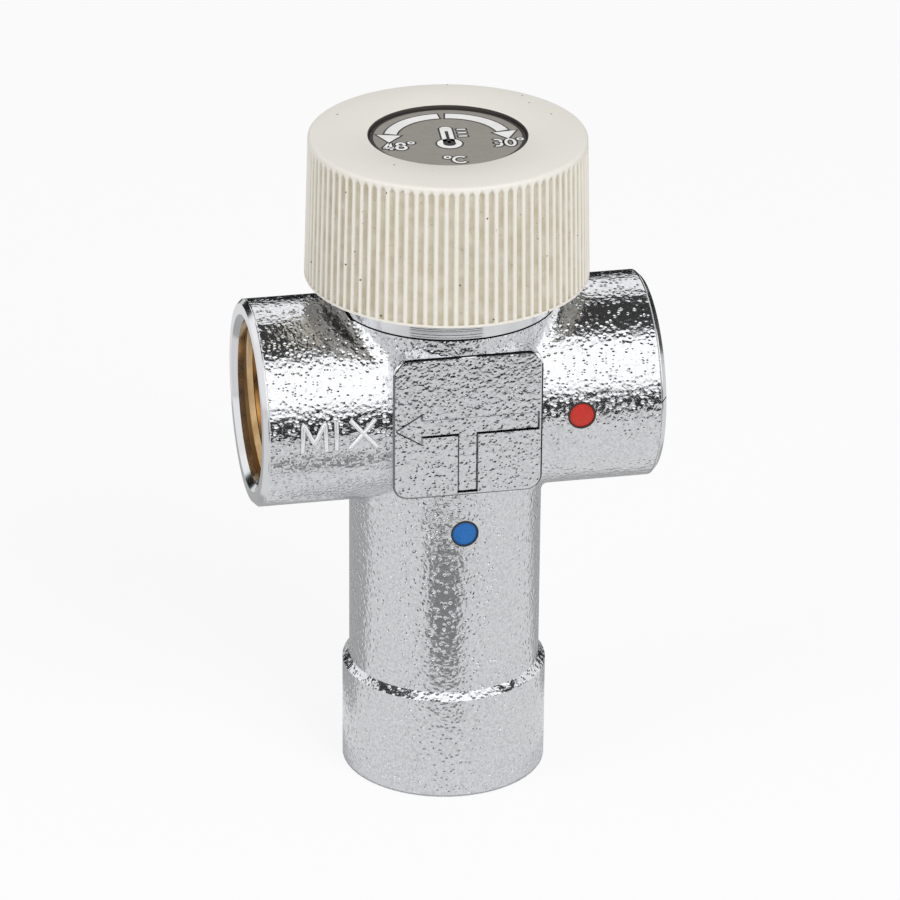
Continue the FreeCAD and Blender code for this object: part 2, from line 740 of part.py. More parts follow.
def make_shuttle_sleeve():
    body = new_body("shuttle_sleeve")
    groove = "sleeve_guide - seal_play - 2 * o_ring_section"
    turn(body, [
        ("sleeve_bore", "sleeve_bottom"), ("sleeve_radius", "sleeve_bottom"),
        ("sleeve_radius", "sleeve_seal - o_ring_section"), (groove, "sleeve_seal - o_ring_section"),
        (groove, "sleeve_seal + o_ring_section"), ("sleeve_radius", "sleeve_seal + o_ring_section"),
        ("sleeve_radius", "spider_top"), ("capsule_radius", "spider_top"),
        ("capsule_radius", "spider_bottom"), ("sleeve_bore", "spider_bottom"),
    ])
    window = new_sketch(body, "XY_Plane", "spider_bottom")
    draw(window, sector("(capsule_radius + spider_hub_wall)", "(sleeve_bore + spider_rim_bite)",
                        "spider_window / 2"))
    cut = extrude(body, window, "spider_tall", "PartDesign::Pocket", back=True)
    around(body, [cut], "spider_arms")
    return body


def make_cold_disc():
    body = new_body("cold_disc")
    rim, rim_bore = "disc_bottom - disc_rim_tall", "disc_rim_radius - disc_rim_wall"
    turn(body, [
        ("stud_radius + running_fit", "disc_bottom"), (rim_bore, "disc_bottom"),
        (rim_bore, rim), ("disc_rim_radius", rim), ("disc_rim_radius", "disc_bottom"),
        ("disc_radius", "disc_bottom"), ("disc_radius", "disc_top"),
        ("stud_radius + running_fit", "disc_top"),
    ])
    return body


def make_lock_nut():
    body = new_body("lock_nut")
    flats = new_sketch(body, "XY_Plane", "disc_bottom - nut_tall")
    draw(flats, hexagon("nut_spanner"))
    draw_circle(flats, "0", "0", "stud_radius + running_fit")
    extrude(body, flats, "nut_tall")
    return body


def make_spring_retainer():
    """A stamped plate: hub, three arms and a rim, with windows for the water."""
    body = new_body("spring_retainer")
    turn(body, [
        ("0", "retainer_bottom"), ("neck_bore - sliding_fit", "retainer_bottom"),
        ("neck_bore - sliding_fit", "retainer_top"), ("0", "retainer_top"),
    ])
    hole = new_sketch(body, "XY_Plane", "retainer_bottom")
    draw_circle(hole, "0", "0", "retainer_hub_radius")
    extrude(body, hole, "retainer_thickness", "PartDesign::Pocket", back=True)
    window = new_sketch(body, "XY_Plane", "retainer_bottom")
    draw(window, sector("retainer_seat_radius", "(neck_bore - sliding_fit - retainer_rim)",
                        "spider_window / 2"))
    cut = extrude(body, window, "retainer_thickness", "PartDesign::Pocket", back=True)
    around(body, [cut], "spider_arms")
    return body


# ---------------------------------------------------------------- knob

def make_knob():
    body = new_body("knob")
    hole = "screw_radius + sliding_fit"
    recess = "cap_radius + cap_gap"
    edge = "knob_edge_round"
    turn(body, [
        ("knob_bore", "knob_bottom"), ("knob_base_radius", "knob_bottom"),
        ("knob_top_radius", f"knob_top - {edge}", edge), (f"knob_top_radius - {edge}", "knob_top"),
        (recess, "knob_top"), (recess, "cap_bottom"), ("screw_well_radius", "cap_bottom"),
        ("screw_well_radius", "screw_seat"), (hole, "screw_seat"), (hole, "drive_bottom"),
        ("knob_hub_radius", "drive_bottom"), ("knob_hub_radius", "knob_ceiling"),
        ("knob_bore", "knob_ceiling"),
    ])
    web = new_sketch(body, "YZ_Plane")
    low = "knob_ceiling - knob_rib_tall"
    start, finish = "knob_hub_radius - rib_overlap", "knob_bore + rib_overlap"
    draw(web, [(start, low), (finish, low), (finish, "knob_ceiling"), (start, "knob_ceiling")])
    rib = extrude(body, web, "knob_rib_thickness", both=True)
    around(body, [rib], "knob_rib_count")
    socket = new_sketch(body, "XY_Plane", "drive_bottom")
    draw(socket, hexagon("(spindle_drive + 2 * running_fit)"))
    extrude(body, socket, "spindle_drive_tall", "PartDesign::Pocket", back=True)

    lean = "atan((knob_base_radius - knob_top_radius) / knob_tall)"
    x, z = "(knob_base_radius + flute_offset)", "(knob_bottom + flute_start)"
    run = f"((knob_tall - flute_start - flute_end) / cos({lean}))"

    def along(distance, across):
        return (f"{x} - {distance} * sin({lean}) + {across} * cos({lean})",
                f"{z} + {distance} * cos({lean}) + {across} * sin({lean})")
    end = f"({run} + flute_point)"
    flute = turn_about(body, [
        along("0", "0"), along("0", "flute_radius"), along(run, "flute_radius"), along(end, "0"),
    ], along("0", "0"), along(end, "0"), kind="PartDesign::Groove")
    around(body, [flute], "flute_count")
    return body


def make_knob_screw():
    body = new_body("knob_screw")
    tip, head_top = "screw_seat - screw_length", "screw_seat + screw_head_tall"
    turn(body, [
        ("0", tip), ("screw_radius - screw_chamfer", tip), ("screw_radius", f"{tip} + screw_chamfer"),
        ("screw_radius", "screw_seat"), ("screw_head_radius", "screw_seat"),
        ("screw_head_radius", f"{head_top} - screw_chamfer"),
        ("screw_head_radius - screw_chamfer", head_top), ("0", head_top),
    ])
    slot = new_sketch(body, "XY_Plane", head_top)
    reach, half = "screw_head_radius", "screw_slot / 2"
    draw(slot, [(f"-{reach}", f"-{half}"), (reach, f"-{half}"), (reach, half), (f"-{reach}", half)])
    extrude(body, slot, "screw_head_tall / 2", "PartDesign::Pocket")
    return body


def make_knob_cap():
    """The printed disc, with a snap skirt round the screw's head."""
    body = new_body("knob_cap")
    skirt = "screw_well_radius - running_fit"
    turn(body, [
        ("0", "cap_bottom"), (f"{skirt} - cap_skirt_wall", "cap_bottom"),
        (f"{skirt} - cap_skirt_wall", "cap_bottom - cap_skirt_tall"),
        (skirt, "cap_bottom - cap_skirt_tall"), (skirt, "cap_bottom"), ("cap_radius", "cap_bottom"),
        ("cap_radius", "cap_bottom + cap_thickness"), ("0", "cap_bottom + cap_thickness"),
    ])
    return body


# ---------------------------------------------------------------- the valve

parts = [
    make_valve_body(),
    make_marker("hot_marker", "hot_marker_x", "port_height + hot_marker_lift", "port_radius", True),
    make_marker("cold_marker", "0", "port_height - cold_marker_drop", "neck_radius", False),
    make_bonnet(),
    ring("bonnet_o_ring", "bonnet_thread_radius + seal_section", "seal_section", "boss_top - seal_section"),
    make_spindle(),
    make_washer("thrust_washer", "spindle_radius + sliding_fit", "spindle_collar_radius",
                "collar_top_face", "washer_thickness"),
    make_split_ring("spindle_clip", "spindle_radius - clip_groove_depth", "spindle_clip_radius",
                    "spindle_clip_bottom", "clip_thickness", "spindle_clip_gap"),
    make_carriage(),
    make_plunger(),
    make_split_ring("plunger_clip", "plunger_nose_radius + clip_play",
                    "carriage_bore + clip_groove_depth - sliding_fit",
                    "clip_seat", "clip_thickness", "plunger_clip_gap"),
    coil_spring("overtravel_spring", "overtravel_coil", "overtravel_wire",
                "plunger_top", "carriage_ceiling", "overtravel_half_turns"),
    make_wax_piston(),
    make_wax_capsule(),
    make_shuttle_sleeve(),
    ring("shuttle_o_ring", "sleeve_guide - seal_play - o_ring_section", "o_ring_section", "sleeve_seal"),
    make_cold_disc(),
    make_lock_nut(),
    coil_spring("return_spring", "return_coil", "return_wire", "retainer_top", "disc_bottom",
                "return_half_turns"),
    make_spring_retainer(),
    make_split_ring("retaining_ring", "ring_groove - ring_width", "ring_groove",
                    "ring_bottom", "ring_thickness", "ring_gap"),
    make_knob(),
    make_knob_screw(),
    make_knob_cap(),
]
for label, height in zip(("spindle_o_ring_lower", "spindle_o_ring_upper"), o_ring_heights()):
    parts.append(ring(label, "spindle_radius + o_ring_stand - o_ring_section", "o_ring_section", height))
doc.recompute()

for item in doc.Objects:
    if "Invalid" in item.State or "Error" in item.State:
        raise RuntimeError(f"{item.Label} did not build: {item.State}")
os.makedirs("parts", exist_ok=True)
for item in parts:
    shape = item.Shape
    if shape.isNull() or not shape.isValid() or len(shape.Solids) != 1:
        raise RuntimeError(f"{item.Label} is not one sound solid")
    shape.exportStep(f"parts/{item.Label}.step")
    print(item.Label, round(shape.Volume, 1), [round(edge, 2) for edge in (
        shape.BoundBox.XMin, shape.BoundBox.XMax, shape.BoundBox.YMin, shape.BoundBox.YMax,
        shape.BoundBox.ZMin, shape.BoundBox.ZMax)])
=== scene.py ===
import json
import math

import bmesh
import bpy
from mathutils import Matrix, Vector


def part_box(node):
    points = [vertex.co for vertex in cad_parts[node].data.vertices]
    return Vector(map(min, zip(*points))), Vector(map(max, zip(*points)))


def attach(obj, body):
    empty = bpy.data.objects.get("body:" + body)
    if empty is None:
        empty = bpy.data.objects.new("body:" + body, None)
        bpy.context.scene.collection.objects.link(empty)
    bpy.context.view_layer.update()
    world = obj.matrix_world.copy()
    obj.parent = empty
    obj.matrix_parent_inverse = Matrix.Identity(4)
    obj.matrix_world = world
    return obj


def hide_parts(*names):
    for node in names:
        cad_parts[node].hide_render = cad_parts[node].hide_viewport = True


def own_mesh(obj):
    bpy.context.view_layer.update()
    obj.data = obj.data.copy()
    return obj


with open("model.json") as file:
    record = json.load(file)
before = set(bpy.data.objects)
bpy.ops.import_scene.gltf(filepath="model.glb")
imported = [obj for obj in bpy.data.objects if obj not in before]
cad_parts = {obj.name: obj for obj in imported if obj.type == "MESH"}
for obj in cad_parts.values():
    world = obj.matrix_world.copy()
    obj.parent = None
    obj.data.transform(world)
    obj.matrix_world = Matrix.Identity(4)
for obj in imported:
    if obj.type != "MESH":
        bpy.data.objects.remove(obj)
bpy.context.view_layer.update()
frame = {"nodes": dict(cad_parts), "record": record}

MM = 0.001
NODES = frame["nodes"]
scene = bpy.context.scene


def corners(node):
    low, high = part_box(node)
    return Vector(low), Vector(high)


# ---------------------------------------------------------------- places read from the frame

BODY_LOW, BODY_HIGH = corners("valve_body")
KNOB_LOW, KNOB_HIGH = corners("knob")
CAP_HIGH = corners("knob_cap")[1]
HOT_LOW, HOT_HIGH = corners("hot_marker")
COLD_LOW, COLD_HIGH = corners("cold_marker")
CAP_RADIUS, CAP_TOP = CAP_HIGH.x, CAP_HIGH.z

MOUNTS = {mount["name"]: mount for mount in frame["record"]["mounts"]}
PORT_Z = MOUNTS["hot_inlet"]["pos_m"][2]
PORT_REACH = BODY_HIGH.x
THREAD_RADIUS = MOUNTS["hot_inlet"]["dims"]["r_mm"] * MM
THREAD_LENGTH = MOUNTS["hot_inlet"]["dims"]["length_mm"] * MM

# ---------------------------------------------------------------- sizes that the frame doesn't name

PORT_RADIUS, NECK_RADIUS = 16.5 * MM, 15.4 * MM
MOUTH_DEPTH = 1.9 * MM
CHAMBER_TOP, CHAMBER_REACH = PORT_Z + 16 * MM, 13 * MM
BODY_TOP = 81.1 * MM

PAD_FRONT, PAD_HALF = 17.2 * MM, 12.0 * MM
PAD_TOP = PORT_Z + 13.0 * MM
PAD_BOTTOM = PAD_TOP - 2 * PAD_HALF
ARROW_TIP, ARROW_Z = 0.55 * MM - PAD_HALF, PAD_TOP - PAD_HALF
ARROW_HEAD_LENGTH, ARROW_HEAD_HALF = 4.25 * MM, 2.65 * MM

KNOB_RADIUS_LOW, KNOB_RADIUS_TOP = 22.48 * MM, 21.87 * MM
KNOB_BORE, KNOB_HUB, KNOB_EDGE = 19.47 * MM, 7.4 * MM, 0.5 * MM
HUB_BORE, SCREW_RECESS, SCREW_BORE = 4.5 * MM, 4.8 * MM, 2.1 * MM
FLUTES, FLUTE_DEPTH, FLUTE_START = 88, 0.44 * MM, 0.35 * MM
RIBS, RIB_HALF, RIB_HEIGHT, RIB_SINK = 6, 0.7 * MM, 4.0 * MM, 0.5 * MM

THREAD_PITCH, THREAD_DEPTH, THREAD_INSET = 1.814 * MM, 1.05 * MM, 0.9 * MM


# ---------------------------------------------------------------- camera

def place_camera():
    """Camera in front of the pad, a little to the left and above, with a long lens."""
    azimuth, elevation, roll = math.radians(-12.067), math.radians(25.295), math.radians(0.491)
    distance, lens, focus = 0.85187, 212.95, Vector((0.00073, -0.00016, 0.05422))
    back = Vector((math.sin(azimuth) * math.cos(elevation), -math.cos(azimuth) * math.cos(elevation),
                   math.sin(elevation)))
    right = Vector((math.cos(azimuth), math.sin(azimuth), 0))
    up = back.cross(right)
    tilted_right = right * math.cos(roll) + up * math.sin(roll)
    tilted_up = up * math.cos(roll) - right * math.sin(roll)
    data = bpy.data.cameras.new("camera")
    data.sensor_width, data.lens = 36.0, lens
    data.clip_start, data.clip_end = 0.01, 20.0
    camera = bpy.data.objects.new("camera", data)
    scene.collection.objects.link(camera)
    turn = Matrix((tilted_right, tilted_up, back)).transposed().to_4x4()
    camera.matrix_world = Matrix.Translation(focus + back * distance) @ turn
    scene.camera = camera


# ---------------------------------------------------------------- node helpers

class Paint:
    """A node material under construction."""

    def __init__(self, name, colour=(0.8, 0.8, 0.8), metallic=0.0, roughness=0.5, **shader):
        self.material = bpy.data.materials.new(name)
        self.material.use_nodes = True
        self.tree = self.material.node_tree
        self.shader = self.tree.nodes["Principled BSDF"]
        self.set("Base Color", (*colour, 1.0))
        self.set("Metallic", metallic)
        self.set("Roughness", roughness)
        for socket, number in shader.items():
            self.set(socket.replace("_", " "), number)
        self.place = self.add("ShaderNodeTexCoord").outputs["Object"]

    def set(self, socket, source):
        self.feed(self.shader.inputs[socket], source)

    def feed(self, socket, source):
        if isinstance(source, bpy.types.NodeSocket):
            self.tree.links.new(source, socket)
        else:
            socket.default_value = source

    def add(self, kind, *sources, **settings):
        node = self.tree.nodes.new(kind)
        for name, setting in settings.items():
            setattr(node, name, setting)
        for socket, source in zip(node.inputs, sources):
            if source is not None:
                self.feed(socket, source)
        return node

    def math(self, operation, *sources, clamp=False):
        return self.add("ShaderNodeMath", *sources, operation=operation, use_clamp=clamp).outputs[0]

    def above(self, source, limit):
        """1 where the source is above the limit, else 0."""
        return self.math("GREATER_THAN", source, limit)

    def below(self, source, limit):
        return self.math("LESS_THAN", source, limit)

    def near(self, source, limit):
        """1 where the source is within the limit on either side of 0."""
        return self.below(self.math("ABSOLUTE", source), limit)

    def all_of(self, first, *others):
        """Product of masks, shares or plain numbers."""
        for other in others:
            first = self.math("MULTIPLY", first, other)
        return first

    def any_of(self, first, *others):
        """The largest of the masks."""
        for other in others:
            first = self.math("MAXIMUM", first, other, clamp=True)
        return first

    def without(self, mask, share=1.0):
        """1 outside the mask and less inside it, down by the share."""
        return self.math("SUBTRACT", 1.0, self.math("MULTIPLY", mask, share), clamp=True)

    def noise(self, scale, detail=2.0, roughness=0.5, place=None):
        node = self.add("ShaderNodeTexNoise")
        self.feed(node.inputs["Vector"], place or self.place)
        self.feed(node.inputs["Scale"], scale)
        self.feed(node.inputs["Detail"], detail)
        self.feed(node.inputs["Roughness"], roughness)
        return node.outputs[0]

    def cells(self, scale):
        """Distance to the nearest of scattered points, about 0 to 1."""
        node = self.add("ShaderNodeTexVoronoi")
        self.feed(node.inputs["Vector"], self.place)
        self.feed(node.inputs["Scale"], scale)
        return node.outputs["Distance"]

    def span(self, source, low, high, to_low=0.0, to_high=1.0):
        """The source from low..high to another range, clamped."""
        node = self.add("ShaderNodeMapRange")
        for index, number in enumerate((source, low, high, to_low, to_high)):
            self.feed(node.inputs[index], number)
        return node.outputs[0]

    def mix(self, share, first, second):
        """Colour: the first where the share is 0, the second where it is 1."""
        node = self.add("ShaderNodeMix", data_type="RGBA")
        self.feed(node.inputs["Factor"], share)
        for name, colour in (("A", first), ("B", second)):
            socket = [item for item in node.inputs if item.name == name and item.type == "RGBA"][0]
            self.feed(socket, colour if isinstance(colour, bpy.types.NodeSocket) else (*colour, 1.0))
        return [item for item in node.outputs if item.type == "RGBA"][0]

    def axes(self):
        return self.add("ShaderNodeSeparateXYZ", self.place).outputs[:]

    def length(self, first, second):
        squares = [self.math("MULTIPLY", side, side) for side in (first, second)]
        return self.math("SQRT", self.math("ADD", *squares))

    def bump(self, height, depth, strength=1.0):
        node = self.add("ShaderNodeBump")
        self.feed(node.inputs["Height"], height)
        self.feed(node.inputs["Distance"], depth)
        self.feed(node.inputs["Strength"], strength)
        self.set("Normal", node.outputs[0])


# ---------------------------------------------------------------- materials

CHROME = (0.74, 0.75, 0.77)
BRASS = (0.60, 0.42, 0.20)
# Near black, for painted shade in the casting's pits and along the arrow's head.
PIT_SHADE = (0.03, 0.03, 0.035)


def shade(colour, share):
    return tuple(share * part for part in colour)


def casting_paint():
    """Chrome over a coarse cast skin. The mouths are machined smooth, the bores show bare brass."""
    paint = Paint("cast_chrome", metallic=1.0)
    x, y, z = paint.axes()
    rise = paint.math("SUBTRACT", z, PORT_Z)
    reach, front = paint.math("ABSOLUTE", x), paint.math("ABSOLUTE", y)
    off_ports, off_column = paint.length(y, rise), paint.length(x, y)

    # Where the casting isn't rough: bores, machined rims and the walls just inside the mouths.
    bore = THREAD_RADIUS + 0.1 * MM
    mouth = bore + 0.7 * MM
    in_port = paint.all_of(paint.below(off_ports, bore), paint.below(reach, PORT_REACH - MOUTH_DEPTH))
    in_column = paint.all_of(paint.below(off_column, bore), paint.below(z, CHAMBER_TOP),
                             paint.above(z, MOUTH_DEPTH))
    bare = paint.any_of(in_port, in_column)
    rim = paint.any_of(paint.span(reach, PORT_REACH - 1.0 * MM, PORT_REACH - 0.8 * MM),
                       paint.span(z, 0.3 * MM, 0.1 * MM))
    inside = paint.any_of(paint.all_of(paint.below(off_ports, mouth), paint.above(reach, CHAMBER_REACH)),
                          paint.below(off_column, mouth))

    # The flat pads, and on the front one the sloping walls of the sunk arrow.
    on_pad = paint.all_of(paint.above(front, PAD_FRONT - 0.5 * MM), paint.below(reach, PAD_HALF),
                          paint.below(z, PAD_TOP + 0.05 * MM), paint.above(z, PAD_BOTTOM - 0.05 * MM))
    walls = paint.all_of(on_pad, paint.below(front, PAD_FRONT - 0.03 * MM),
                         paint.above(front, PAD_FRONT - 0.33 * MM))
    rough = paint.all_of(paint.without(paint.any_of(rim, inside, bare)), paint.without(on_pad, 0.25),
                         paint.without(walls, 0.9))

    # The cast skin: soft hills, fine grain and scattered dimples.
    hills = paint.noise(1050, 1.0, 0.4)
    grain = paint.noise(2400, 1.0, 0.5)
    dimples = paint.add("ShaderNodeMapRange", paint.cells(1150), 0.0, 0.46,
                        interpolation_type="SMOOTHSTEP").outputs[0]
    height = paint.math("ADD", paint.all_of(hills, 0.85), paint.all_of(grain, 0.25))
    height = paint.math("ADD", height, paint.all_of(dimples, 0.75))
    paint.bump(paint.all_of(height, rough), 0.15 * MM)

    # The plating, with its pits on the upper part darkened near black by painted shade. The ports' undersides and
    # the neck are calmer.
    plate = paint.mix(paint.span(grain, 0.32, 0.62), shade(CHROME, 0.84), shade(CHROME, 1.05))
    plate = paint.mix(rough, CHROME, plate)
    under_ports = paint.all_of(paint.span(rise, -0.5 * MM, -3.0 * MM), paint.above(reach, 14 * MM))
    neck = paint.below(z, PORT_Z - 12 * MM)
    calm = paint.any_of(under_ports, neck)
    pit_shade = paint.all_of(paint.span(paint.cells(980), 0.17, 0.10), rough,
                        paint.above(paint.noise(260, 0.0), 0.52), paint.without(calm))
    plate = paint.mix(pit_shade, plate, PIT_SHADE)

    # The arrow's walls carry painted light and shade by the way they face: painted shade where they don't face
    # up, a painted white highlight where they face up and right, and painted near-black shade where they face
    # straight up or straight right.
    facing = paint.add("ShaderNodeNewGeometry").outputs["True Normal"]
    face_x, _, face_z = paint.add("ShaderNodeSeparateXYZ", facing).outputs[:]
    wall_shade = paint.all_of(walls, paint.below(face_z, 0.1))
    wall_highlight = paint.all_of(walls, paint.above(face_z, 0.2), paint.above(face_x, 0.2))
    upward = paint.all_of(paint.above(face_z, 0.25), paint.near(face_x, 0.3))
    sideways = paint.all_of(paint.above(face_x, 0.3), paint.below(face_z, 0.1))
    crease_shade = paint.all_of(walls, paint.any_of(upward, sideways))
    plate = paint.mix(paint.all_of(wall_shade, 0.85), plate, (0.10, 0.10, 0.11))
    plate = paint.mix(wall_highlight, plate, (1.0, 1.0, 1.0))

    # A thin line of painted shade along the two slanting edges of the arrow's head.
    spread = paint.all_of(paint.math("SUBTRACT", x, ARROW_TIP), ARROW_HEAD_HALF / ARROW_HEAD_LENGTH)
    off_axis = paint.math("ABSOLUTE", paint.math("SUBTRACT", z, ARROW_Z))
    off_edge = paint.math("SUBTRACT", paint.math("SUBTRACT", off_axis, spread), 0.10 * MM)
    head_shade = paint.all_of(paint.near(off_edge, 0.14 * MM), paint.above(spread, -0.05 * MM),
                        paint.below(off_axis, ARROW_HEAD_HALF + 0.10 * MM),
                        paint.below(y, 0.5 * MM - PAD_FRONT))
    plate = paint.mix(paint.all_of(head_shade, 0.9), plate, PIT_SHADE)

    # A nick across the rim of the hot port, in front and below, painted near black as its shade.
    slant = paint.math("ADD", 49.2 * MM, paint.all_of(x, 0.58))
    nick_shade = paint.all_of(paint.near(paint.math("SUBTRACT", z, slant), 0.13 * MM),
                        paint.above(x, PORT_REACH - 1.1 * MM), paint.below(y, 0.0),
                        paint.above(off_ports, PORT_RADIUS - 1.3 * MM))
    plate = paint.mix(paint.any_of(crease_shade, nick_shade), plate, (0.015, 0.015, 0.016))

    paint.set("Base Color", paint.mix(bare, plate, BRASS))
    wear = paint.math("ADD", 0.10, paint.all_of(paint.noise(90, 3.0), 0.10))
    paint.set("Roughness", paint.math("ADD", wear, paint.all_of(bare, 0.16)))
    return paint.material


def turned_metal(name, colour):
    """Metal with fine turning rings about the Z axis: the paint, its stained colour and the stain."""
    paint = Paint(name, metallic=1.0)
    x, y, z = paint.axes()
    rings = paint.add("ShaderNodeCombineXYZ", paint.length(x, y), z, 0.0).outputs[0]
    paint.bump(paint.noise(5200, 1.0, 0.5, rings), 0.012 * MM, 0.6)
    stain = paint.noise(160, 3.0)
    return paint, paint.mix(paint.span(stain, 0.35, 0.75), colour, shade(colour, 0.82)), stain


def turned_paint(name, colour, roughness):
    paint, tint, stain = turned_metal(name, colour)
    paint.set("Base Color", tint)
    paint.set("Roughness", paint.span(stain, 0.3, 0.7, roughness, roughness + 0.10))
    return paint.material


def bonnet_paint():
    """Turned chrome with a dark line of painted shade where the flange sits on the casting."""
    paint, tint, stain = turned_metal("turned_chrome", (0.82, 0.83, 0.85))
    # Painted shade: a near-black band along the flange's lower edge.
    joint_shade = paint.below(paint.axes()[2], BODY_TOP + 0.30 * MM)
    paint.set("Base Color", paint.mix(joint_shade, tint, (0.012, 0.012, 0.013)))
    paint.set("Roughness", paint.math("ADD", 0.10, paint.all_of(joint_shade, 0.6)))
    return paint.material


def thread_paint():
    """Cut brass threads. The first turn at each mouth has caught some of the chrome."""
    paint = Paint("thread_brass", metallic=1.0)
    x, _, z = paint.axes()
    depth = paint.math("SUBTRACT", PORT_REACH, paint.math("ABSOLUTE", x))
    depth = paint.math("MINIMUM", depth, z)
    plated = paint.span(depth, 2.6 * MM, 1.7 * MM)
    stain = paint.noise(240, 3.0)
    brass = paint.mix(paint.span(stain, 0.35, 0.7), (0.66, 0.46, 0.24), (0.44, 0.28, 0.13))
    paint.set("Base Color", paint.mix(plated, brass, CHROME))
    paint.set("Roughness", paint.span(stain, 0.3, 0.7, 0.18, 0.32))
    paint.bump(paint.noise(2600, 1.0), 0.02 * MM, 0.6)
    return paint.material


def knob_paint():
    """Cream plastic with painted shade, beige, in the bottom of the flutes, dark pores, and a dark line of
    painted shade round the cap.
    """
    paint = Paint("cream_plastic", roughness=0.46, Specular_IOR_Level=0.35, Subsurface_Weight=0.04,
                  Subsurface_Scale=0.001)
    x, y, z = paint.axes()
    off_axis = paint.length(x, y)
    slope = (KNOB_RADIUS_LOW - KNOB_RADIUS_TOP) / (KNOB_HIGH.z - KNOB_LOW.z)
    wall = paint.math("SUBTRACT", KNOB_RADIUS_LOW,
                      paint.all_of(slope, paint.math("SUBTRACT", z, KNOB_LOW.z)))
    depth = paint.math("SUBTRACT", wall, off_axis)
    mottle = paint.span(paint.noise(420, 3.0), 0.3, 0.7, 0.55, 1.0)
    # Painted shade: darker and beige towards the bottom of the flutes, varied by the mottle.
    flute_shade = paint.all_of(paint.span(depth, 0.10 * MM, 0.70 * FLUTE_DEPTH), paint.below(depth, 0.8 * MM),
                          paint.below(z, KNOB_HIGH.z - 0.55 * MM), mottle)
    base = paint.mix(paint.span(paint.noise(45, 2.0), 0.3, 0.7), (0.740, 0.712, 0.645),
                     (0.765, 0.738, 0.675))
    base = paint.mix(flute_shade, base, (0.47, 0.42, 0.30))
    specks = paint.all_of(paint.span(paint.cells(1300), 0.16, 0.10), flute_shade,
                          paint.above(paint.noise(500, 0.0), 0.53), 0.75)
    base = paint.mix(specks, base, (0.22, 0.13, 0.05))
    pores = paint.all_of(paint.span(paint.cells(420), 0.085, 0.055), paint.above(paint.noise(170, 0.0), 0.56))
    base = paint.mix(pores, base, (0.07, 0.05, 0.03))
    # Painted shade: a near-black band on the recess wall round the cap.
    cap_seat_shade = paint.all_of(paint.below(off_axis, CAP_RADIUS + 0.36 * MM), paint.above(z, CAP_TOP - 1.3 * MM))
    paint.set("Base Color", paint.mix(cap_seat_shade, base, (0.03, 0.026, 0.022)))
    paint.bump(paint.noise(2400, 2.0), 0.02 * MM, 0.5)
    return paint.material


def flat_paint(name, colour, roughness, grain=900.0, depth=0.02, metallic=0.0):
    """A plain paint or plastic with slight mottling, and grain of that depth in millimetres."""
    paint = Paint(name, roughness=roughness, metallic=metallic)
    mottle = paint.span(paint.noise(grain / 3, 3.0), 0.3, 0.7)
    paint.set("Base Color", paint.mix(mottle, colour, shade(colour, 0.88)))
    paint.bump(paint.noise(grain, 2.0), depth * MM, 0.5)
    return paint.material


# ---------------------------------------------------------------- mesh helpers

def make_piece(name, verts, faces, body, slot, material, smooth=True):
    """A closed mesh that rides on a body of the frame, with the given material. The slot argument is not used."""
    mesh = bpy.data.meshes.new(name)
    mesh.from_pydata(verts, [], faces)
    mesh.update()
    work = bmesh.new()
    work.from_mesh(mesh)
    bmesh.ops.recalc_face_normals(work, faces=work.faces)
    work.to_mesh(mesh)
    work.free()
    mesh.materials.append(material)
    for face in mesh.polygons:
        face.use_smooth = smooth
    piece = bpy.data.objects.new(name, mesh)
    scene.collection.objects.link(piece)
    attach(piece, body)
    return piece


def turned(profile, columns, radius_at):
    """Closed solid of revolution from a loop of (radius, height) points.
    radius_at(row, angle) gives the radius of a row's point at that angle."""
    verts, faces = [], []
    for column in range(columns):
        angle = 2 * math.pi * column / columns
        for row, (_, height) in enumerate(profile):
            reach = radius_at(row, angle)
            verts.append((reach * math.cos(angle), reach * math.sin(angle), height))
    rows = len(profile)
    for column in range(columns):
        after = (column + 1) % columns
        for row in range(rows):
            below = (row + 1) % rows
            faces.append((column * rows + row, after * rows + row,
                          after * rows + below, column * rows + below))
    return verts, faces


def smooth_by_angle(piece, degrees):
    """Smooth shading that keeps edges sharper than the angle."""
    mesh = piece.data
    work = bmesh.new()
    work.from_mesh(mesh)
    for edge in work.edges:
        if len(edge.link_faces) == 2:
            edge.smooth = edge.calc_face_angle() < math.radians(degrees)
    work.to_mesh(mesh)
    work.free()


# ---------------------------------------------------------------- knob

def knob_side(height):
    """Radius of the knob's slightly tapering side."""
    share = (height - KNOB_LOW.z) / (KNOB_HIGH.z - KNOB_LOW.z)
    return KNOB_RADIUS_LOW + (KNOB_RADIUS_TOP - KNOB_RADIUS_LOW) * share


